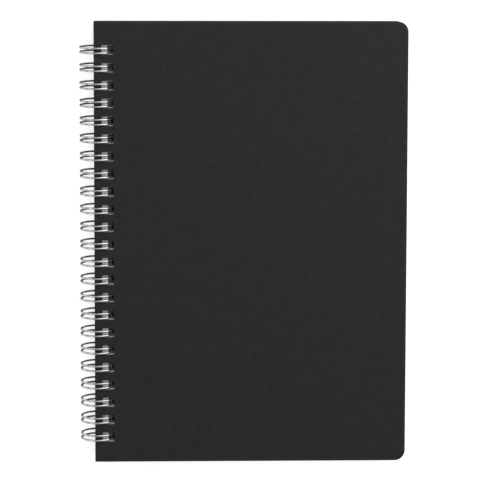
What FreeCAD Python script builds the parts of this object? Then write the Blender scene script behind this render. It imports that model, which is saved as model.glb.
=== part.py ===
"""Twin-loop bound notebook: two board covers, a block of leaves and one wire binding.

Millimetres. The closed notebook lies on its back cover: +Z is up, +Y runs
towards the head of the pages and +X from the wire to the fore edge. The
origin is the middle of the bottom of the bounding box.
"""
import FreeCAD, Part
import math
import os

# Covers: paper-wrapped board
COVER_WIDTH = 149.8
COVER_HEIGHT = 212.0
BOARD_THICKNESS = 2.0
COVER_CORNER_RADIUS = 5.0
COVER_EDGE_ROUND = 0.3

# Holes punched in the covers
COVER_HOLE_WIDTH = 5.6
COVER_HOLE_HEIGHT = 4.4
COVER_HOLE_MARGIN = 3.7
HOLE_CORNER_RADIUS = 0.4

# Leaves: one solid block
LEAF_STACK_THICKNESS = 8.8
LEAF_INSET_ENDS = 1.0
LEAF_INSET_SPINE = 3.5
LEAF_INSET_FORE_EDGE = 1.7
LEAF_HOLE_WIDTH = 4.0
LEAF_HOLE_HEIGHT = 4.0
LEAF_HOLE_MARGIN = 3.0
LEAF_LIFT_SLOPE_LENGTH = 9.0

# Wire binding
LOOP_COUNT = 23
LOOP_PITCH = 25.4 / 3
FIRST_LOOP_FROM_HEAD = 13.5
LOOP_RADIUS = 7.62
WIRE_DIAMETER = 0.95
LOOP_CENTRE_INSET = 1.15
LEG_SPACING = 2.3
TIP_SPACING = 1.6
RING_SKEW = 1.0
SEAM_CORNER_RADIUS = 1.2
SEAM_CLEARANCE = 0.25
TIP_GAP = 0.35

# Derived places
WIRE_RADIUS = WIRE_DIAMETER / 2
SKEW_ANGLE = math.asin(RING_SKEW / (2 * LOOP_RADIUS))
LOOP_CENTRE_Z = (LOOP_RADIUS * math.cos(SKEW_ANGLE) + LEG_SPACING / 2 * math.sin(SKEW_ANGLE)
                 + WIRE_RADIUS)
WIRE_OVERHANG = LOOP_RADIUS + WIRE_RADIUS - LOOP_CENTRE_INSET
SPINE_X = (WIRE_OVERHANG - COVER_WIDTH) / 2
LOOP_CENTRE_X = SPINE_X + LOOP_CENTRE_INSET

STACK_BOTTOM_Z = LOOP_CENTRE_Z - LEAF_STACK_THICKNESS / 2
STACK_TOP_Z = LOOP_CENTRE_Z + LEAF_STACK_THICKNESS / 2
LOOP_YS = [COVER_HEIGHT / 2 - FIRST_LOOP_FROM_HEAD - number * LOOP_PITCH
           for number in range(LOOP_COUNT)]

UP = FreeCAD.Vector(0, 0, 1)
ACROSS = FreeCAD.Vector(0, 1, 0)


def rounded_slab(x_low, x_high, y_low, y_high, corner_radii):
    """Flat face with corner radii given from the lower left, anticlockwise."""
    corners = [(x_low, y_low, 1, 1), (x_high, y_low, -1, 1),
               (x_high, y_high, -1, -1), (x_low, y_high, 1, -1)]
    arrivals, leavings, arcs = [], [], []
    for (x, y, inward_x, inward_y), radius, number in zip(corners, corner_radii, range(4)):
        along_x = FreeCAD.Vector(x + inward_x * radius, y, 0)
        along_y = FreeCAD.Vector(x, y + inward_y * radius, 0)
        arrive, leave = (along_y, along_x) if number % 2 == 0 else (along_x, along_y)
        arrivals.append(arrive)
        leavings.append(leave)
        if radius > 0:
            short = radius * (1 - math.sqrt(0.5))
            middle = FreeCAD.Vector(x + inward_x * short, y + inward_y * short, 0)
            arcs.append(Part.Arc(arrive, middle, leave).toShape())
        else:
            arcs.append(None)
    edges = []
    for number in range(4):
        if arcs[number]:
            edges.append(arcs[number])
        edges.append(Part.LineSegment(leavings[number], arrivals[(number + 1) % 4]).toShape())
    return Part.Face(Part.Wire(edges))


def punched(solid, hole_x, hole_width, hole_height, z_low, z_high):
    """Cuts the row of holes, one for each loop, through a solid."""
    punches = []
    for loop_y in LOOP_YS:
        outline = rounded_slab(hole_x, hole_x + hole_width,
                               loop_y - hole_height / 2, loop_y + hole_height / 2,
                               [HOLE_CORNER_RADIUS] * 4)
        outline.translate(UP * (z_low - 1))
        punches.append(outline.extrude(UP * (z_high - z_low + 2)))
    return solid.cut(Part.makeCompound(punches))


def cover(z_low):
    """One cover board lying at z_low: square at the wire, round at the fore edge."""
    outline = rounded_slab(SPINE_X, SPINE_X + COVER_WIDTH,
                           -COVER_HEIGHT / 2, COVER_HEIGHT / 2,
                           [0, COVER_CORNER_RADIUS, COVER_CORNER_RADIUS, 0])
    outline.translate(UP * z_low)
    board = outline.extrude(UP * BOARD_THICKNESS)
    rims = [edge for edge in board.Edges
            if abs(edge.BoundBox.ZLength) < 1e-6]
    board = board.makeFillet(COVER_EDGE_ROUND, rims)
    return punched(board, SPINE_X + COVER_HOLE_MARGIN, COVER_HOLE_WIDTH,
                   COVER_HOLE_HEIGHT, z_low, z_low + BOARD_THICKNESS)


def seam_z():
    """Height of the wire's seam, between the last leaf and the back cover."""
    return STACK_BOTTOM_Z + WIRE_RADIUS + SEAM_CLEARANCE


def page_block():
    """The leaves, lifted over the wire's seam beside the spine."""
    x_low = SPINE_X + LEAF_INSET_SPINE
    x_high = SPINE_X + COVER_WIDTH - LEAF_INSET_FORE_EDGE
    y_half = COVER_HEIGHT / 2 - LEAF_INSET_ENDS
    radius = max(COVER_CORNER_RADIUS - LEAF_INSET_ENDS, 0)
    outline = rounded_slab(x_low, x_high, -y_half, y_half, [0, radius, radius, 0])
    outline.translate(UP * STACK_BOTTOM_Z)
    block = outline.extrude(UP * LEAF_STACK_THICKNESS)

    lift_z = seam_z() + WIRE_RADIUS + SEAM_CLEARANCE
    flat_end = x_low + LEAF_HOLE_MARGIN + LEAF_HOLE_WIDTH
    lift_points = [(x_low - 1, STACK_BOTTOM_Z - 1), (x_low - 1, lift_z), (flat_end, lift_z),
                   (flat_end + LEAF_LIFT_SLOPE_LENGTH, STACK_BOTTOM_Z),
                   (flat_end + LEAF_LIFT_SLOPE_LENGTH, STACK_BOTTOM_Z - 1)]
    lift_points = [FreeCAD.Vector(x, -COVER_HEIGHT / 2, z) for x, z in lift_points]
    lift = Part.Face(Part.makePolygon(lift_points + lift_points[:1]))
    block = block.cut(lift.extrude(ACROSS * COVER_HEIGHT))
    return punched(block, x_low + LEAF_HOLE_MARGIN, LEAF_HOLE_WIDTH, LEAF_HOLE_HEIGHT,
                   STACK_BOTTOM_Z, STACK_TOP_Z)


def arc(start, middle, end):
    """Edge of a circular arc through three points."""
    return Part.Arc(start, middle, end).toShape()


def leg_point(angle, side_offset, lean):
    """Point of a loop's leg in the loop's own frame, hung from the loop's top.

    The leg is a circle turned by lean about the tangent at its top, so legs of
    different lean run smoothly into each other there.
    """
    depth = LOOP_RADIUS * (1 - math.sin(angle))
    return FreeCAD.Vector(LOOP_RADIUS * math.cos(angle),
                          side_offset + depth * math.sin(lean),
                          -depth * math.cos(lean))


def leg_direction(angle, lean):
    """Unit tangent of the leg there, towards the growing angle."""
    return FreeCAD.Vector(-math.sin(angle), -math.cos(angle) * math.sin(lean),
                          math.cos(angle) * math.cos(lean))


def leg_arc(start_angle, end_angle, side_offset, lean):
    """Arc of a leg between two angles, in degrees of the loop."""
    angles = [start_angle, (start_angle + end_angle) / 2, end_angle]
    return arc(*[leg_point(angle, side_offset, lean) for angle in angles])


def seam_angle():
    """Angle at which a leg ends and its turn to the next loop starts."""
    rise = seam_z() - LOOP_CENTRE_Z
    reach = math.hypot(LOOP_RADIUS, SEAM_CORNER_RADIUS)
    return math.asin(rise / reach) - math.atan2(SEAM_CORNER_RADIUS, LOOP_RADIUS)


def tip_angle():
    """Angle of the legs at the tip's turn, which stops short of the seam."""
    seam_arc = seam_angle() + SEAM_CORNER_RADIUS / LOOP_RADIUS
    return seam_arc + (WIRE_DIAMETER + TIP_GAP + TIP_SPACING / 2) / LOOP_RADIUS


def loop_edges():
    """Path of one loop in its own frame: up one leg, round the tip, down the other."""
    root = seam_angle()
    top = math.pi / 2
    tip = tip_angle()
    half = LEG_SPACING / 2
    tip_depth = LOOP_RADIUS * (1 - math.sin(tip))
    pinch = math.asin((LEG_SPACING - TIP_SPACING) / 2 / tip_depth)

    head_leg = [leg_arc(root + 2 * math.pi, top, half, 0), leg_arc(top, tip, half, -pinch)]
    tail_leg = [leg_arc(tip, top, -half, pinch), leg_arc(top, root + 2 * math.pi, -half, 0)]

    head_end = leg_point(tip, half, -pinch)
    forward = leg_direction(tip, -pinch) * -1
    onward = FreeCAD.Vector(forward.x, 0, forward.z)
    slant = math.atan2(-forward.y, onward.Length)
    onward.normalize()
    turn_radius = head_end.y / math.cos(slant)
    centre = FreeCAD.Vector(head_end.x, 0, head_end.z) - onward * (turn_radius * math.sin(slant))
    tip_turn = arc(head_end, centre + onward * turn_radius, leg_point(tip, -half, pinch))
    return head_leg + [tip_turn] + tail_leg


def seam_edges(start, end, forward):
    """Turn from one loop's leg to the next loop's: corner, bar, corner."""
    offset = (end - start).dot(forward)
    lead_in = forward * max(offset, 0)
    lead_out = forward * max(-offset, 0)
    first, last = start + lead_in, end + lead_out
    sideways = (last - first).normalize()
    radius = SEAM_CORNER_RADIUS
    short = radius * (1 - math.sqrt(0.5))
    bar_start = first + (forward + sideways) * radius
    bar_end = last + (forward - sideways) * radius
    edges = [arc(first, first + forward * (radius - short) + sideways * short, bar_start),
             Part.LineSegment(bar_start, bar_end).toShape(),
             arc(bar_end, last + forward * (radius - short) - sideways * short, last)]
    if offset > 1e-6:
        edges.insert(0, Part.LineSegment(start, first).toShape())
    elif offset < -1e-6:
        edges.append(Part.LineSegment(last, end).toShape())
    return edges


def binding_wire():
    """One wire bent into a comb of twin loops and rolled round the spine."""
    hang = FreeCAD.Placement(
        FreeCAD.Vector(LOOP_CENTRE_X, -RING_SKEW / 2,
                       LOOP_CENTRE_Z + LOOP_RADIUS * math.cos(SKEW_ANGLE)),
        FreeCAD.Rotation(FreeCAD.Vector(1, 0, 0), math.degrees(SKEW_ANGLE)))
    root = seam_angle()
    forward = hang.Rotation.multVec(leg_direction(root, 0))
    loop = Part.Wire(loop_edges())
    loop.Placement = hang
    leg_ends = [hang.multVec(leg_point(root, side * LEG_SPACING / 2, 0)) for side in (1, -1)]

    path = []
    for number, loop_y in enumerate(LOOP_YS):
        placed = loop.copy()
        placed.translate(ACROSS * loop_y)
        path += placed.OrderedEdges
        if number + 1 < LOOP_COUNT:
            path += seam_edges(leg_ends[1] + ACROSS * loop_y,
                               leg_ends[0] + ACROSS * LOOP_YS[number + 1], forward)
    route = Part.Wire(path)
    start = leg_ends[0] + ACROSS * LOOP_YS[0]
    section = Part.Wire(Part.Circle(start, forward, WIRE_RADIUS).toBSpline().toShape())
    return route.makePipeShell([section], True, False)


def main():
    os.makedirs("parts", exist_ok=True)
    nodes = {
        "front_cover": cover(STACK_TOP_Z),
        "back_cover": cover(STACK_BOTTOM_Z - BOARD_THICKNESS),
        "page_block": page_block(),
        "binding_wire": binding_wire(),
    }
    for name, shape in nodes.items():
        shape.exportStep(os.path.join("parts", name + ".step"))


main()
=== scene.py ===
"""Looks, studio and camera for a twin-loop bound notebook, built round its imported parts.

Metres, in the frame of the parts: +Z is up out of the front cover, +Y runs to the
head of the pages and +X from the wire to the fore edge.
"""

import math
import random

import bmesh
import bpy
from bpy.props import FloatProperty, FloatVectorProperty, IntProperty, PointerProperty
from mathutils import Matrix, Vector


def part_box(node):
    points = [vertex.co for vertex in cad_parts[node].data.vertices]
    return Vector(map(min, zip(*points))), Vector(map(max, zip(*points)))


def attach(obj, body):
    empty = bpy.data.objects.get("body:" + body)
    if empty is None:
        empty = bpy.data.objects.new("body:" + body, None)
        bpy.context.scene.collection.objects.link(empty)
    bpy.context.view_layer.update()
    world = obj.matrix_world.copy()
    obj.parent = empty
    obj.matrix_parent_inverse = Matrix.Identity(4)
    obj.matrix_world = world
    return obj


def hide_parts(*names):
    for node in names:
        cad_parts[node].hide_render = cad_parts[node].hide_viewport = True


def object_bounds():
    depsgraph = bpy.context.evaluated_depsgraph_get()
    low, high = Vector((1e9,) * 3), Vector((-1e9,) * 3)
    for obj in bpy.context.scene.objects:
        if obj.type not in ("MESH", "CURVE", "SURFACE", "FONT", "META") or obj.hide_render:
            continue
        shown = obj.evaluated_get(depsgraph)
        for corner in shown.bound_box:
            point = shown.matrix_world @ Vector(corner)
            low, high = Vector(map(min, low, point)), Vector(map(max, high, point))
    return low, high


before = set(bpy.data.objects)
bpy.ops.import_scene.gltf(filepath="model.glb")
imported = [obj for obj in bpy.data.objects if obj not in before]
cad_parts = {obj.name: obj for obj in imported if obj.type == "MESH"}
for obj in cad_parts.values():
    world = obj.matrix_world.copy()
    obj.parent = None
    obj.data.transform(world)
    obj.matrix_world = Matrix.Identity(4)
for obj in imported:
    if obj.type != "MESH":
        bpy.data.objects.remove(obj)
CAD_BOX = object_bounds()

bl_info = {
    "name": "Twin-Loop Notebook",
    "version": (1, 0, 0),
    "blender": (4, 5, 0),
    "location": "View3D > Sidebar > Notebook",
    "description": "Boards, leaves and wire of a bound notebook, with a plain studio",
    "category": "Add Mesh",
}

MM = 0.001
FRONT_LOW, FRONT_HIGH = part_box("front_cover")
BACK_LOW, BACK_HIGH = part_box("back_cover")
LEAVES_LOW, LEAVES_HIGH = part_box("page_block")
WIRE_LOW, WIRE_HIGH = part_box("binding_wire")

PHOTO_SIDE = 480                            # pixels
SENSOR_WIDTH = 36.0                         # millimetres, as cameras state it
CAMERA_TURN = (-6.39, -2.03, 0.11)          # degrees about X, Y and Z
CAMERA_REACH = 20.0                         # how far the camera sees
FLOOR_HALF = 4.0                            # from the middle of the floor to its edge
# Each lamp's place, width, height and the setting that holds its power
LAMPS = {"key_lamp": ((0.30, 0.46, 0.50), 0.6, 0.6, "key_power"),
         "side_lamp": ((0.50, 0.20, 0.30), 1.0, 0.5, "side_power"),
         "fill_lamp": ((-0.44, 0.0, 0.40), 0.9, 0.3, "fill_power"),
         "strip_lamp": ((0.60, 0.06, 0.20), 1.0, 0.14, "strip_power")}

SAME_PLACE = 1e-7                           # points this close count as one
HOLE_SLACK = 0.01 * MM                      # reach past the walls of the row of holes
RIM_FOLD = math.radians(60)                 # a sharper fold between two faces is a rim
WALL_RISE, SIDE_RISE = 0.8, 0.5             # a face whose normal rises less is a wall or side
LEAF_SEED = 11                              # of the draws that put leaves out of line
DRIFT_SIZE, DRIFT_WAVE = 1.5, 0.21          # slow drift, in staggers and radians a leaf
FIBRE_STRETCH = (0.35, 1.6, 1)
FIBRE_TURNS = (0.5, -0.9)                   # radians, for fibres that cross each other

# Segments of the rounded shapes
BOARD_CORNER_STEPS, BOARD_EDGE_STEPS = 10, 3
HOLE_CORNER_STEPS, HOLE_RIM_STEPS = 3, 2
LEAF_CORNER_STEPS, LEAF_SLOPE_STEPS = 8, 9
RING_BACK_STEPS, RING_FRONT_STEPS = 40, 18
TIP_STEPS, SEAM_STEPS = 12, 6

# Sockets of a Mix node that mixes colours
MIX_FACTOR, MIX_LOW, MIX_HIGH, MIX_RESULT = 0, 6, 7, 2


def length(name, description, default):
    """A size in metres, shown in the scene's units."""
    return FloatProperty(name=name, description=description, default=default,
                         subtype="DISTANCE", unit="LENGTH", precision=5)


def share(name, description, default):
    """A number from 0 to 1."""
    return FloatProperty(name=name, description=description, default=default,
                         min=0, max=1, subtype="FACTOR")


def colour(name, description, default):
    """A linear colour without alpha."""
    return FloatVectorProperty(name=name, description=description, default=default,
                               size=3, min=0, max=1, subtype="COLOR")


def watts(name, description, default):
    """A lamp's power in watts."""
    return FloatProperty(name=name, description=description, default=default,
                         min=0, unit="POWER")


class LoopRowSettings(bpy.types.PropertyGroup):
    """Where the loops stand along the spine."""
    count: IntProperty(name="Loops", description="Twin loops on the spine", default=23, min=1)
    pitch: length("Pitch", "Distance between loops, three to the inch", 25.4 * MM / 3)
    first: length("First loop", "From the head of the covers to the first loop", 13.5 * MM)


class BoardSettings(bpy.types.PropertyGroup):
    """Cover boards and the paper they are wrapped in."""
    corner_radius: length("Corner radius", "Radius of the fore-edge corners", 5.0 * MM)
    edge_round: length("Edge rounding", "Rounding of the wrapped board edges", 0.3 * MM)
    hole_margin: length("Hole margin", "From the spine edge to the holes", 3.7 * MM)
    hole_width: length("Hole width", "Punched hole, across the spine", 5.6 * MM)
    hole_height: length("Hole height", "Punched hole, along the spine", 4.4 * MM)
    hole_corner: length("Hole corner", "Corner radius of a punched hole", 0.4 * MM)
    hole_rim: length("Hole rim", "Rounding that the punch leaves on the wrap", 0.12 * MM)
    # The lighter band is painted sheen, where light catches the rounded edges, together with
    # rubbed wear.
    sheen_and_wear_width: length("Sheen_and_rub width", "Band along the outer edges that is rubbed lighter", 1.6 * MM)
    wrap_colour: colour("Wrap", "Black wrap paper", (0.0151, 0.0151, 0.0153))
    core_colour: colour("Core", "Grey board at the cut edges", (0.34, 0.34, 0.33))


class LeafSettings(bpy.types.PropertyGroup):
    """The block of leaves."""
    count: IntProperty(name="Leaves", description="Leaves in the block", default=88, min=2)
    corner_radius: length("Corner radius", "Radius of the fore-edge corners", 4.0 * MM)
    hole_margin: length("Hole margin", "From the leaf's edge to the holes", 3.0 * MM)
    hole_width: length("Hole width", "Punched hole, across the spine", 4.0 * MM)
    hole_height: length("Hole height", "Punched hole, along the spine", 4.0 * MM)
    stagger: length("Stagger", "How far single leaves stand out of line", 0.03 * MM)
    slope: length("Lift slope", "Length over which lifted leaves come down", 9.0 * MM)
    paper_colour: colour("Paper", "Uncoated off-white paper", (0.85, 0.845, 0.83))


class WireSettings(bpy.types.PropertyGroup):
    """The wire and the form of its loops."""
    diameter: length("Wire", "Wire thickness", 0.95 * MM)
    leg_spacing: length("Leg spacing", "Between the two legs of a loop", 2.3 * MM)
    tip_spacing: length("Tip spacing", "Between the legs at the loop's tip", 1.6 * MM)
    lean: length("Lean", "How far the back of a loop stands towards the head", 1.0 * MM)
    seam_corner: length("Seam corner", "Bend radius between two loops", 1.2 * MM)
    seam_clearance: length("Seam clearance", "Free space round the seam", 0.25 * MM)
    tip_gap: length("Tip gap", "From a loop's tip to the seam", 0.35 * MM)
    sides: IntProperty(name="Sides", description="Faces round the wire", default=14, min=6)
    metal_colour: colour("Metal", "Nickel coat of the wire", (0.58, 0.58, 0.585))
    edge_tint: share("Edge tint", "Share of its gloss that the coat keeps at a glance", 0.0)
    roughness: share("Roughness", "Roughness of the nickel coat", 0.24)


class StudioSettings(bpy.types.PropertyGroup):
    """Camera, lamps and floor."""
    camera_distance: length("Camera height", "Camera above the front cover", 1196.9 * MM)
    camera_from_spine: length("Camera from spine", "From the spine edge, along +X", 27.0 * MM)
    camera_from_tail: length("Camera from tail", "From the tail edge, along +Y", 241.7 * MM)
    focal_pixels: FloatProperty(name="Focal length", description="In pixels of the photo's frame",
                                default=2516.0)
    world_level: FloatProperty(name="World", description="Light from all round",
                               default=0.42, min=0)
    key_power: watts("Key lamp", "Soft lamp high past the head", 1.75)
    side_power: watts("Side lamp", "Soft lamp past the fore edge", 2.2)
    fill_power: watts("Fill lamp", "Soft lamp past the spine", 0.9)
    strip_power: watts("Strip lamp", "Low strip past the fore edge", 0.63)
    floor_colour: colour("Floor", "Plain pale floor", (0.60, 0.60, 0.60))
    floor_glow: share("Floor glow", "Extra white that the camera and the metal see", 0.70)


# Shared node groups

def new_group(name, inputs, outputs):
    """Empty shader group with its sockets, its input node and its output node."""
    group = bpy.data.node_groups.new(name, "ShaderNodeTree")
    for side, sockets in (("INPUT", inputs), ("OUTPUT", outputs)):
        for socket_name, kind in sockets:
            group.interface.new_socket(socket_name, in_out=side, socket_type=kind)
    return group, group.nodes.new("NodeGroupInput"), group.nodes.new("NodeGroupOutput")


def feed(tree, socket, value):
    """Links an input to an output, or sets it where the value is plain."""
    if isinstance(value, bpy.types.NodeSocket):
        tree.links.new(value, socket)
    else:
        socket.default_value = value


def math_node(tree, operation, *values, clamp=False):
    """Math node fed by sockets or plain numbers; returns its output."""
    node = tree.nodes.new("ShaderNodeMath")
    node.operation = operation
    node.use_clamp = clamp
    for socket, value in zip(node.inputs, values):
        feed(tree, socket, value)
    return node.outputs[0]


def noise_node(tree, vector, scale, detail=2.0, roughness=0.5):
    """Noise texture on a vector; returns its value."""
    node = tree.nodes.new("ShaderNodeTexNoise")
    tree.links.new(vector, node.inputs["Vector"])
    feed(tree, node.inputs["Scale"], scale)
    node.inputs["Detail"].default_value = detail
    node.inputs["Roughness"].default_value = roughness
    return node.outputs["Fac"]


def stretch_node(tree, vector, scale, turn=0.0):
    """Mapping node that stretches a pattern; returns its vector."""
    node = tree.nodes.new("ShaderNodeMapping")
    tree.links.new(vector, node.inputs["Vector"])
    node.inputs["Scale"].default_value = scale
    node.inputs["Rotation"].default_value = (0, 0, turn)
    return node.outputs["Vector"]


def paper_grain_group():
    """Fibres and fine tooth of paper: a height and a slow mottle, both about 0.5."""
    group, given, result = new_group(
        "paper_grain",
        [("Vector", "NodeSocketVector"), ("Tooth", "NodeSocketFloat"),
         ("Mottle", "NodeSocketFloat")],
        [("Height", "NodeSocketFloat"), ("Mottle", "NodeSocketFloat")])
    vector, scale = given.outputs["Vector"], given.outputs["Tooth"]
    tooth = noise_node(group, vector, scale, 3.0, 0.6)
    fibres = [noise_node(group, stretch_node(group, vector, FIBRE_STRETCH, turn), scale, 1.0)
              for turn in FIBRE_TURNS]
    both = math_node(group, "ADD", tooth, math_node(group, "MAXIMUM", *fibres))
    group.links.new(math_node(group, "MULTIPLY", both, 0.5), result.inputs["Height"])
    mottle = noise_node(group, vector, given.outputs["Mottle"], 4.0, 0.55)
    group.links.new(mottle, result.inputs["Mottle"])
    return group


def rim_group():
    """Mask of a narrow band along a board's head, tail and fore edges."""
    group, given, result = new_group(
        "board_rim",
        [("Vector", "NodeSocketVector"), ("Half Height", "NodeSocketFloat"),
         ("Fore Edge", "NodeSocketFloat"), ("Width", "NodeSocketFloat")],
        [("Mask", "NodeSocketFloat")])
    split = group.nodes.new("ShaderNodeSeparateXYZ")
    group.links.new(given.outputs["Vector"], split.inputs[0])
    from_ends = math_node(group, "SUBTRACT", given.outputs["Half Height"],
                          math_node(group, "ABSOLUTE", split.outputs["Y"]))
    from_fore = math_node(group, "SUBTRACT", given.outputs["Fore Edge"], split.outputs["X"])
    nearest = math_node(group, "MINIMUM", from_ends, from_fore)
    band = math_node(group, "DIVIDE", nearest, given.outputs["Width"], clamp=True)
    group.links.new(math_node(group, "SUBTRACT", 1.0, band), result.inputs["Mask"])
    return group


SHARED_GROUPS = {"paper_grain": paper_grain_group, "board_rim": rim_group}


def object_place(tree):
    """Object coordinates of a material."""
    return tree.nodes.new("ShaderNodeTexCoord").outputs["Object"]


def use_group(material, group_name, **values):
    """Places a shared group, built at its first use, in a material; returns its outputs."""
    tree = material.node_tree
    node = tree.nodes.new("ShaderNodeGroup")
    node.node_tree = bpy.data.node_groups.get(group_name) or SHARED_GROUPS[group_name]()
    tree.links.new(object_place(tree), node.inputs["Vector"])
    for name, value in values.items():
        node.inputs[name.replace("_", " ")].default_value = value
    return node.outputs


def new_material(name):
    """Material with a Principled BSDF; returns the material and the shader node."""
    material = bpy.data.materials.new(name)
    material.use_nodes = True
    return material, material.node_tree.nodes["Principled BSDF"]


def blend_colour(material, factor, low, high):
    """Mix of two colours by a mask; returns its output."""
    node = material.node_tree.nodes.new("ShaderNodeMix")
    node.data_type = "RGBA"
    for socket, value in ((MIX_FACTOR, factor), (MIX_LOW, low), (MIX_HIGH, high)):
        feed(material.node_tree, node.inputs[socket], value)
    return node.outputs[MIX_RESULT]


def bump(material, height, distance, strength=1.0):
    """Bump node on a height; feeds the material's Normal."""
    tree = material.node_tree
    node = tree.nodes.new("ShaderNodeBump")
    node.inputs["Distance"].default_value = distance
    node.inputs["Strength"].default_value = strength
    tree.links.new(height, node.inputs["Height"])
    tree.links.new(node.outputs["Normal"], tree.nodes["Principled BSDF"].inputs["Normal"])


def tinted(tone, amount):
    """An opaque colour made lighter, or darker with a share under 1."""
    return (*(min(1.0, part * amount) for part in tone), 1)


# Materials

def wrap_paper(settings):
    """Matte black wrap paper: fine tooth, slow mottle, and a lighter rim that is painted sheen
    along the rounded edges and rubbed wear.
    """
    material, shader = new_material("wrap_paper")
    tree = material.node_tree
    grain = use_group(material, "paper_grain", Tooth=2600.0, Mottle=520.0)
    rim = use_group(material, "board_rim", Half_Height=FRONT_HIGH.y,
                    Fore_Edge=FRONT_HIGH.x, Width=settings.sheen_and_wear_width)
    mottled = blend_colour(material, grain["Mottle"],
                           tinted(settings.wrap_colour, 0.5), tinted(settings.wrap_colour, 1.5))
    # Lighter band along the head, tail and fore edges: painted sheen where light catches the
    # rounded edges, and rubbed wear, broken up by the grain.
    sheen_and_wear = math_node(tree, "MULTIPLY", rim["Mask"], grain["Height"])
    sheened_and_rubbed = blend_colour(material, sheen_and_wear, mottled, tinted(settings.wrap_colour, 2.0))
    tree.links.new(sheened_and_rubbed, shader.inputs["Base Color"])
    rough = math_node(tree, "MULTIPLY_ADD", grain["Height"], 0.2, 0.5)
    tree.links.new(rough, shader.inputs["Roughness"])
    shader.inputs["Specular IOR Level"].default_value = 0.22
    bump(material, grain["Height"], 0.03 * MM, 0.6)
    return material


def board_core(settings):
    """Grey board where the punch cut it: pressed layers and loose fibres."""
    material, shader = new_material("board_core")
    tree = material.node_tree
    grain = use_group(material, "paper_grain", Tooth=4200.0, Mottle=900.0)
    tone = blend_colour(material, grain["Mottle"],
                        tinted(settings.core_colour, 0.72), tinted(settings.core_colour, 1.25))
    tree.links.new(tone, shader.inputs["Base Color"])
    shader.inputs["Roughness"].default_value = 0.9
    bump(material, grain["Height"], 0.08 * MM)
    return material


def leaf_paper(settings):
    """Uncoated paper, as the flat side of a leaf shows it."""
    material, shader = new_material("leaf_paper")
    grain = use_group(material, "paper_grain", Tooth=3200.0, Mottle=900.0)
    tone = blend_colour(material, grain["Mottle"],
                        tinted(settings.paper_colour, 0.97), tinted(settings.paper_colour, 1.01))
    material.node_tree.links.new(tone, shader.inputs["Base Color"])
    shader.inputs["Roughness"].default_value = 0.85
    shader.inputs["Specular IOR Level"].default_value = 0.3
    bump(material, grain["Height"], 0.02 * MM, 0.5)
    return material


def leaf_edges(settings):
    """The cut sides of the leaves, with a line of its own tone for each."""
    material, shader = new_material("leaf_edges")
    tree = material.node_tree
    grain = use_group(material, "paper_grain", Tooth=3200.0, Mottle=90.0)
    along_leaves = stretch_node(tree, object_place(tree), (12, 12, 3600))
    layers = noise_node(tree, along_leaves, 1.0, 2.0, 0.7)
    mixed = math_node(tree, "MULTIPLY", layers, grain["Mottle"])
    spread = math_node(tree, "MULTIPLY", mixed, 3.0, clamp=True)
    tone = blend_colour(material, spread,
                        tinted(settings.paper_colour, 0.84), tinted(settings.paper_colour, 1.04))
    tree.links.new(tone, shader.inputs["Base Color"])
    shader.inputs["Roughness"].default_value = 0.85
    shader.inputs["Specular IOR Level"].default_value = 0.3
    return material


def nickel_wire(settings):
    """Bright nickel coat with drawn streaks and faint handling marks."""
    material, shader = new_material("nickel_wire")
    tree = material.node_tree
    place = object_place(tree)
    marks = noise_node(tree, place, 420.0, 3.0, 0.6)
    tone = blend_colour(material, marks,
                        tinted(settings.metal_colour, 0.86), tinted(settings.metal_colour, 1.12))
    tree.links.new(tone, shader.inputs["Base Color"])
    spread = 0.12
    rough = math_node(tree, "MULTIPLY_ADD", marks, spread, settings.roughness - spread / 2)
    tree.links.new(rough, shader.inputs["Roughness"])
    shader.inputs["Metallic"].default_value = 1.0
    shader.inputs["Specular Tint"].default_value = (*(settings.edge_tint,) * 3, 1)
    streaks = noise_node(tree, stretch_node(tree, place, (1, 9, 1)), 1500.0)
    bump(material, streaks, 0.01 * MM, 0.4)
    return material


def studio_floor(settings):
    """Pale floor that shows white to the camera and in the metal, and keeps the shadow."""
    material, shader = new_material("studio_floor")
    tree = material.node_tree
    place = object_place(tree)
    tone = blend_colour(material, noise_node(tree, place, 30.0),
                        tinted(settings.floor_colour, 0.99), tinted(settings.floor_colour, 1))
    tree.links.new(tone, shader.inputs["Base Color"])
    shader.inputs["Roughness"].default_value = 0.9
    shader.inputs["Specular IOR Level"].default_value = 0.0
    path = tree.nodes.new("ShaderNodeLightPath")
    seen = math_node(tree, "MAXIMUM", path.outputs["Is Camera Ray"],
                     math_node(tree, "MAXIMUM", path.outputs["Is Glossy Ray"],
                               path.outputs["Is Transmission Ray"]))
    # The floor under the notebook stays in its shadow: the white starts a little inside it
    split = tree.nodes.new("ShaderNodeSeparateXYZ")
    tree.links.new(place, split.inputs[0])
    beside = [math_node(tree, "SUBTRACT", math_node(tree, "ABSOLUTE", split.outputs[axis]), reach)
              for axis, reach in (("X", -LEAVES_LOW.x), ("Y", LEAVES_HIGH.y - 3 * MM))]
    fade = 2 * MM
    outside = math_node(tree, "DIVIDE", math_node(tree, "MAXIMUM", *beside), fade, clamp=True)
    glow = tree.nodes.new("ShaderNodeEmission")
    glow.inputs["Color"].default_value = (1, 1, 1, 1)
    level = math_node(tree, "MULTIPLY", math_node(tree, "MULTIPLY", seen, outside),
                      settings.floor_glow)
    tree.links.new(level, glow.inputs["Strength"])
    both = tree.nodes.new("ShaderNodeAddShader")
    tree.links.new(shader.outputs[0], both.inputs[0])
    tree.links.new(glow.outputs[0], both.inputs[1])
    tree.links.new(both.outputs[0], tree.nodes["Material Output"].inputs["Surface"])
    return material


# Geometry

def loop_ys(row):
    """Middle of each loop's holes along the spine."""
    return [FRONT_HIGH.y - row.first - number * row.pitch for number in range(row.count)]


def only(kind, geometry):
    """The vertices, edges or faces in what an operator gives back."""
    return [part for part in geometry if isinstance(part, kind)]


def cut_across(bm, faces, point, normal):
    """Cuts some faces along a plane; their neighbours stay whole."""
    edges = {edge for face in faces for edge in face.edges}
    verts = {vert for face in faces for vert in face.verts}
    bmesh.ops.bisect_plane(bm, geom=list(verts) + list(edges) + list(faces),
                           plane_co=point, plane_no=normal, dist=SAME_PLACE)


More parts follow.
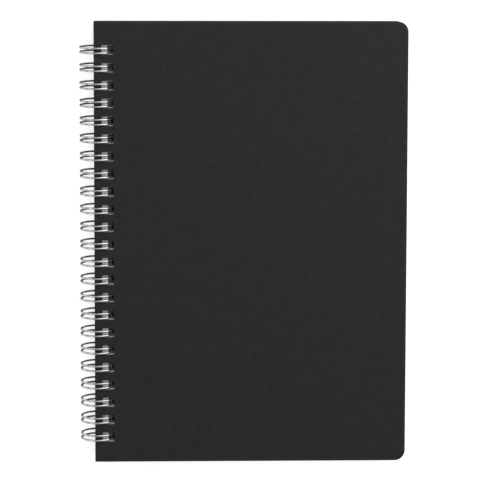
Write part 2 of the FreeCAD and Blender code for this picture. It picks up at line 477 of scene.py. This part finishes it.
def punched_sheet(bm, low, high, holes, centres, cuts=()):
    """Flat sheet at low.z with a row of rectangular holes beside its left edge.

    holes holds the margin, width and height of a hole; cuts are further lines
    across the sheet, given by their distance from its left edge.
    """
    square = bmesh.ops.create_grid(bm, x_segments=1, y_segments=1, size=1.0)["verts"]
    bmesh.ops.scale(bm, verts=square, vec=((high.x - low.x) / 2, (high.y - low.y) / 2, 1))
    bmesh.ops.translate(bm, verts=square, vec=((low.x + high.x) / 2, (low.y + high.y) / 2, low.z))
    margin, width, height = holes
    for distance in (margin, margin + width, *cuts):
        cut_across(bm, bm.faces[:], (low.x + distance, 0, 0), (1, 0, 0))
    left, right = low.x + margin, low.x + margin + width

    def punched_column():
        return [face for face in bm.faces if left < face.calc_center_median().x < right]

    for centre in centres:
        for side in (-height / 2, height / 2):
            cut_across(bm, punched_column(), (0, centre + side, 0), (0, 1, 0))
    waste = [face for face in punched_column()
             if any(abs(face.calc_center_median().y - centre) < height / 4 for centre in centres)]
    bmesh.ops.delete(bm, geom=waste, context="FACES")
    return bm.faces[:]


def raise_sheet(bm, faces, step, keep_base):
    """Extrudes a sheet by a step and returns the new top faces."""
    raised = bmesh.ops.extrude_face_region(bm, geom=faces, use_keep_orig=keep_base)["geom"]
    bmesh.ops.translate(bm, verts=only(bmesh.types.BMVert, raised), vec=step)
    return only(bmesh.types.BMFace, raised)


def is_upright(edge):
    """True for an edge that stands along Z."""
    along = edge.verts[0].co - edge.verts[1].co
    return abs(along.x) < SAME_PLACE and abs(along.y) < SAME_PLACE


def round_edges(bm, edges, radius, segments):
    """Rounds edges of a solid."""
    bmesh.ops.bevel(bm, geom=edges, offset=radius, offset_type="OFFSET", segments=segments,
                    profile=0.5, affect="EDGES", material=-1, clamp_overlap=True)


def finished(bm, name, materials, smooth_angle=40):
    """Turns a mesh into a shaded object at the origin."""
    bmesh.ops.recalc_face_normals(bm, faces=bm.faces[:])
    mesh = bpy.data.meshes.new(name)
    for face in bm.faces:
        face.smooth = True
    bm.to_mesh(mesh)
    bm.free()
    mesh.set_sharp_from_angle(angle=math.radians(smooth_angle))
    for material in materials:
        mesh.materials.append(material)
    piece = bpy.data.objects.new(name, mesh)
    bpy.context.scene.collection.objects.link(piece)
    even = piece.modifiers.new("Even Shading", "WEIGHTED_NORMAL")
    even.keep_sharp = True
    return piece


def make_board(name, low, high, row, settings, materials):
    """One wrapped cover board with its punched holes."""
    bm = bmesh.new()
    holes = (settings.hole_margin, settings.hole_width, settings.hole_height)
    sheet = punched_sheet(bm, low, high, holes, loop_ys(row))
    raise_sheet(bm, sheet, (0, 0, high.z - low.z), keep_base=True)
    bmesh.ops.recalc_face_normals(bm, faces=bm.faces[:])

    column_left = low.x + settings.hole_margin
    column_right = column_left + settings.hole_width

    def in_column(x):
        return column_left - HOLE_SLACK < x < column_right + HOLE_SLACK

    def is_rim(edge):
        return (not is_upright(edge) and len(edge.link_faces) == 2
                and edge.calc_face_angle(0) > RIM_FOLD)

    def rims(of_holes):
        return [edge for edge in bm.edges if is_rim(edge)
                and in_column((edge.verts[0].co.x + edge.verts[1].co.x) / 2) == of_holes]

    round_edges(bm, [edge for edge in bm.edges if is_upright(edge)
                     and edge.verts[0].co.x > high.x - MM],
                settings.corner_radius, BOARD_CORNER_STEPS)
    round_edges(bm, [edge for edge in bm.edges if is_upright(edge)
                     and in_column(edge.verts[0].co.x)],
                settings.hole_corner, HOLE_CORNER_STEPS)
    round_edges(bm, rims(of_holes=False), settings.edge_round, BOARD_EDGE_STEPS)
    round_edges(bm, rims(of_holes=True), settings.hole_rim, HOLE_RIM_STEPS)
    for face in bm.faces:
        middle = face.calc_center_median()
        in_hole = (in_column(middle.x) and abs(middle.y) < high.y - MM
                   and abs(face.normal.z) < WALL_RISE)
        face.material_index = 1 if in_hole else 0
    return finished(bm, name, materials)


def make_leaves(name, low, high, row, settings, materials, lift):
    """The block of leaves, with each leaf's edge, lifted beside the spine.

    lift is how far its lowest leaf stands up there, to clear the wire's seam.
    """
    bm = bmesh.new()
    holes = (settings.hole_margin, settings.hole_width, settings.hole_height)
    flat_end = settings.hole_margin + settings.hole_width
    cuts = [flat_end + settings.slope * step / LEAF_SLOPE_STEPS
            for step in range(1, LEAF_SLOPE_STEPS + 1)]
    punched_sheet(bm, low, high, holes, loop_ys(row), cuts)
    corners = [vert for vert in bm.verts if vert.co.x > high.x - MM]
    bmesh.ops.bevel(bm, geom=corners, offset=settings.corner_radius, offset_type="OFFSET",
                    segments=LEAF_CORNER_STEPS, profile=0.5, affect="VERTICES", material=-1)
    sheet = bm.faces[:]

    stack, stagger = high.z - low.z, settings.stagger
    draw = random.Random(LEAF_SEED)
    before = Vector((0, 0))
    for leaf in range(settings.count):
        drift = stagger * DRIFT_SIZE * math.sin(leaf * DRIFT_WAVE)
        now = Vector((drift - abs(draw.gauss(0, stagger)), draw.uniform(-stagger, stagger)))
        step = (*(now - before), stack / settings.count)
        sheet = raise_sheet(bm, sheet, step, keep_base=leaf == 0)
        before = now

    for vert in bm.verts:
        past = min(max((vert.co.x - low.x - flat_end) / settings.slope, 0.0), 1.0)
        raised = lift * (1 - past * past * (3 - 2 * past))      # an S-shaped slope
        vert.co.z = low.z + raised + (vert.co.z - low.z) * (stack - raised) / stack
    for face in bm.faces:
        face.normal_update()
        face.material_index = 1 if abs(face.normal.z) < SIDE_RISE else 0
    return finished(bm, name, materials)


def turn_tube(bm, ring, centre, axis, angle, steps):
    """Sweeps the open end of a tube round an axis and returns the new end."""
    swept = bmesh.ops.spin(bm, geom=ring, cent=centre, axis=axis, angle=angle, steps=steps,
                           use_duplicate=False, use_merge=False)
    return swept["geom_last"]


def run_tube(bm, ring, step):
    """Lengthens the open end of a tube by a straight run and returns the new end."""
    edges = only(bmesh.types.BMEdge, ring)
    longer = bmesh.ops.extrude_edge_only(bm, edges=edges)["geom"]
    verts = only(bmesh.types.BMVert, longer)
    bmesh.ops.translate(bm, verts=verts, vec=step)
    end = set(verts)
    return verts + [edge for edge in only(bmesh.types.BMEdge, longer) if set(edge.verts) <= end]


class LoopForm:
    """The path of one twin loop, hung from the top of its ring."""

    def __init__(self, settings):
        self.wire = settings.diameter / 2
        self.radius = (WIRE_HIGH.x - WIRE_LOW.x) / 2 - self.wire
        self.half = settings.leg_spacing / 2
        self.lean = math.asin(settings.lean / (2 * self.radius))
        self.corner = settings.seam_corner
        centre_x = (WIRE_LOW.x + WIRE_HIGH.x) / 2
        centre_z = (FRONT_LOW.z + BACK_HIGH.z) / 2
        self.hang = (Matrix.Translation((centre_x, -settings.lean / 2,
                                         centre_z + self.radius * math.cos(self.lean)))
                     @ Matrix.Rotation(self.lean, 4, "X"))
        seam_z = LEAVES_LOW.z + self.wire + settings.seam_clearance
        self.lift = seam_z + self.wire + settings.seam_clearance - LEAVES_LOW.z
        reach = math.hypot(self.radius, self.corner)
        self.root = (math.asin((seam_z - centre_z) / reach)
                     - math.atan2(self.corner, self.radius))
        seam_arc = self.root + self.corner / self.radius
        tip_reach = settings.diameter + settings.tip_gap + settings.tip_spacing / 2
        self.tip = seam_arc + tip_reach / self.radius
        tip_depth = self.radius * (1 - math.sin(self.tip))
        self.pinch = math.asin((settings.leg_spacing - settings.tip_spacing) / 2 / tip_depth)

    def point(self, angle, side, lean):
        """Point of a leg in the loop's own frame."""
        depth = self.radius * (1 - math.sin(angle))
        return Vector((self.radius * math.cos(angle), side + depth * math.sin(lean),
                       -depth * math.cos(lean)))

    def direction(self, angle, lean):
        """Tangent of a leg there, towards the growing angle."""
        return Vector((-math.sin(angle), -math.cos(angle) * math.sin(lean),
                       math.cos(angle) * math.cos(lean)))

    def leg(self, start, end, side, lean):
        """Centre, axis, angle of a leg's arc."""
        centre = Vector((0, side + self.radius * math.sin(lean), -self.radius * math.cos(lean)))
        return centre, Vector((0, -math.cos(lean), -math.sin(lean))), end - start

    def tip_turn(self):
        """Centre, axis, angle of the turn at the loop's tip."""
        head_end = self.point(self.tip, self.half, -self.pinch)
        forward = -self.direction(self.tip, -self.pinch)
        onward = Vector((forward.x, 0, forward.z))
        slant = math.atan2(-forward.y, onward.length)
        onward.normalize()
        radius = head_end.y / math.cos(slant)
        centre = Vector((head_end.x, 0, head_end.z)) - onward * (radius * math.sin(slant))
        start = head_end - centre
        return centre, start.cross(onward).normalized(), 2 * start.angle(onward)

    def arcs(self):
        """The loop's arcs in order, with the number of steps for each."""
        full = self.root + 2 * math.pi
        top = math.pi / 2
        return [(*self.leg(full, top, self.half, 0), RING_BACK_STEPS),
                (*self.leg(top, self.tip, self.half, -self.pinch), RING_FRONT_STEPS),
                (*self.tip_turn(), TIP_STEPS),
                (*self.leg(self.tip, top, -self.half, self.pinch), RING_FRONT_STEPS),
                (*self.leg(top, full, -self.half, 0), RING_BACK_STEPS)]


def wire_ring(bm, settings, form, centre, forward):
    """Circle of the wire's section, square to its path."""
    verts = bmesh.ops.create_circle(bm, cap_ends=False, segments=settings.sides,
                                    radius=form.wire)["verts"]
    aim = Matrix.Translation(centre) @ forward.to_track_quat("Z", "Y").to_matrix().to_4x4()
    bmesh.ops.transform(bm, verts=verts, matrix=aim)
    return verts + bm.edges[:]


def make_wire(name, form, row, settings, materials):
    """The whole binding: one wire, loop after loop, joined at the seam."""
    bm = bmesh.new()
    turned = form.hang.to_3x3()
    forward = turned @ form.direction(form.root, 0)
    first = Vector((0, loop_ys(row)[0], 0))
    onward = Vector((0, -row.pitch, 0))
    arriving, leaving = (form.hang @ form.point(form.root, side * form.half, 0) + first
                         for side in (1, -1))
    lead = (arriving + onward - leaving).dot(forward)
    sideways = (arriving + onward - leaving - forward * lead).normalized()
    axis = forward.cross(sideways)

    def corner(ring, centre, run_in, run_out):
        """Quarter turn between a leg and the seam, with the short run that levels them."""
        if run_in:
            ring = run_tube(bm, ring, forward * run_in)
        ring = turn_tube(bm, ring, centre, axis, math.pi / 2, SEAM_STEPS)
        return run_tube(bm, ring, forward * run_out) if run_out else ring

    run_in, run_out = max(lead, 0), min(lead, 0)
    turn_in = arriving - forward * run_out - sideways * form.corner
    turn_out = leaving + forward * run_in + sideways * form.corner
    ring = wire_ring(bm, settings, form, turn_in + forward * form.corner, sideways)
    start_edges = only(bmesh.types.BMEdge, ring)
    ring = corner(ring, turn_in, 0, run_out)
    entry = bm.faces[:]
    for centre, turn_axis, angle, steps in form.arcs():
        ring = turn_tube(bm, ring, form.hang @ centre + first, turned @ turn_axis, angle, steps)
    looped = set(bm.faces)
    ring = corner(ring, turn_out, run_in, 0)
    end_edges = only(bmesh.types.BMEdge, ring)
    leave = [face for face in bm.faces if face not in looped]

    cell = bm.verts[:] + bm.edges[:] + bm.faces[:]
    before = end_edges
    for number in range(1, row.count):
        copy = bmesh.ops.duplicate(bm, geom=cell)
        bmesh.ops.translate(bm, verts=only(bmesh.types.BMVert, copy["geom"]), vec=onward * number)
        bmesh.ops.bridge_loops(bm, edges=before + [copy["edge_map"][edge] for edge in start_edges])
        before = [copy["edge_map"][edge] for edge in end_edges]
        last = copy["face_map"]
    # The first loop's way in and the last loop's way out lead nowhere
    bmesh.ops.delete(bm, geom=entry + [last[face] for face in leave], context="FACES")
    open_ends = [edge for edge in bm.edges if edge.is_boundary]
    bmesh.ops.holes_fill(bm, edges=open_ends, sides=0)
    return finished(bm, name, materials, smooth_angle=50)


# Stage

def add_lamp(name, place, target, width, height, power):
    """Soft lamp aimed at a point, with its width level."""
    lamp = bpy.data.lights.new(name, "AREA")
    lamp.shape = "RECTANGLE"
    lamp.size, lamp.size_y = width, height
    lamp.energy = power
    holder = bpy.data.objects.new(name, lamp)
    holder.location = place
    holder.rotation_euler = (Vector(target) - Vector(place)).to_track_quat("-Z", "Y").to_euler()
    bpy.context.scene.collection.objects.link(holder)


def add_camera(settings):
    """Camera above the head of the notebook, at the photo's angle."""
    data = bpy.data.cameras.new("photo_camera")
    data.sensor_fit = "HORIZONTAL"
    data.sensor_width = SENSOR_WIDTH
    data.lens = settings.focal_pixels * SENSOR_WIDTH / PHOTO_SIDE
    data.clip_end = CAMERA_REACH
    camera = bpy.data.objects.new("photo_camera", data)
    camera.location = (FRONT_LOW.x + settings.camera_from_spine,
                       FRONT_LOW.y + settings.camera_from_tail,
                       FRONT_HIGH.z + settings.camera_distance)
    camera.rotation_euler = [math.radians(turn) for turn in CAMERA_TURN]
    bpy.context.scene.collection.objects.link(camera)
    bpy.context.scene.camera = camera


# Operators

class NOTEBOOK_OT_boards(bpy.types.Operator):
    """Makes the front and back cover boards"""
    bl_idname = "notebook.boards"
    bl_label = "Cover Boards"

    def execute(self, context):
        settings, row = context.scene.notebook_boards, context.scene.notebook_row
        materials = [wrap_paper(settings), board_core(settings)]
        for body, low, high in (("front_cover", FRONT_LOW, FRONT_HIGH),
                                ("back_cover", BACK_LOW, BACK_HIGH)):
            board = make_board(body.replace("cover", "board"), low, high, row, settings, materials)
            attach(board, body)
            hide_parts(body)
        return {"FINISHED"}


class NOTEBOOK_OT_leaves(bpy.types.Operator):
    """Makes the block of leaves"""
    bl_idname = "notebook.leaves"
    bl_label = "Leaves"

    def execute(self, context):
        settings, row = context.scene.notebook_leaves, context.scene.notebook_row
        lift = LoopForm(context.scene.notebook_wire).lift
        leaves = make_leaves("leaves", LEAVES_LOW, LEAVES_HIGH, row, settings,
                             [leaf_paper(settings), leaf_edges(settings)], lift)
        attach(leaves, "bound_block")
        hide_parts("page_block")
        return {"FINISHED"}


class NOTEBOOK_OT_wire(bpy.types.Operator):
    """Makes the twin-loop wire"""
    bl_idname = "notebook.wire"
    bl_label = "Twin-Loop Wire"

    def execute(self, context):
        settings, row = context.scene.notebook_wire, context.scene.notebook_row
        wire = make_wire("twin_loop_wire", LoopForm(settings), row, settings,
                         [nickel_wire(settings)])
        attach(wire, "bound_block")
        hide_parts("binding_wire")
        return {"FINISHED"}


class NOTEBOOK_OT_studio(bpy.types.Operator):
    """Makes the floor, the lamps, the world and the camera"""
    bl_idname = "notebook.studio"
    bl_label = "Studio"

    def execute(self, context):
        settings = context.scene.notebook_studio
        bm = bmesh.new()
        bmesh.ops.create_grid(bm, x_segments=2, y_segments=2, size=FLOOR_HALF)
        floor = finished(bm, "floor", [studio_floor(settings)])
        middle = (CAD_BOX[0] + CAD_BOX[1]) / 2
        for name, (place, width, height, setting) in LAMPS.items():
            add_lamp(name, place, middle, width, height, getattr(settings, setting))
        add_camera(settings)
        world = bpy.data.worlds.new("studio_world")
        world.use_nodes = True
        background = world.node_tree.nodes["Background"]
        background.inputs["Color"].default_value = (1, 1, 1, 1)
        background.inputs["Strength"].default_value = settings.world_level
        context.scene.world = world
        context.scene.view_settings.view_transform = "Standard"
        return {"FINISHED"}


class NOTEBOOK_PT_maker(bpy.types.Panel):
    """Sidebar panel with the notebook's pieces and sizes"""
    bl_idname = "NOTEBOOK_PT_maker"
    bl_label = "Notebook"
    bl_space_type = "VIEW_3D"
    bl_region_type = "UI"
    bl_category = "Notebook"

    def draw(self, context):
        for settings in SETTINGS:
            box = self.layout.box()
            if settings in STEPS:
                box.operator(STEPS[settings].bl_idname)
            group = getattr(context.scene, settings)
            for name in group.bl_rna.properties.keys():
                if name not in ("rna_type", "name"):
                    box.prop(group, name)


SETTINGS = {"notebook_row": LoopRowSettings, "notebook_boards": BoardSettings,
            "notebook_leaves": LeafSettings, "notebook_wire": WireSettings,
            "notebook_studio": StudioSettings}
STEPS = {"notebook_boards": NOTEBOOK_OT_boards, "notebook_leaves": NOTEBOOK_OT_leaves,
         "notebook_wire": NOTEBOOK_OT_wire, "notebook_studio": NOTEBOOK_OT_studio}


def register():
    for name, group in SETTINGS.items():
        bpy.utils.register_class(group)
        setattr(bpy.types.Scene, name, PointerProperty(type=group))
    for operator in STEPS.values():
        bpy.utils.register_class(operator)
    bpy.utils.register_class(NOTEBOOK_PT_maker)


def unregister():
    bpy.utils.unregister_class(NOTEBOOK_PT_maker)
    for operator in reversed(STEPS.values()):
        bpy.utils.unregister_class(operator)
    for name, group in reversed(SETTINGS.items()):
        delattr(bpy.types.Scene, name)
        bpy.utils.unregister_class(group)


def main():
    register()
    bpy.ops.notebook.boards()
    bpy.ops.notebook.leaves()
    bpy.ops.notebook.wire()
    bpy.ops.notebook.studio()


if __name__ == "__main__":
    main()
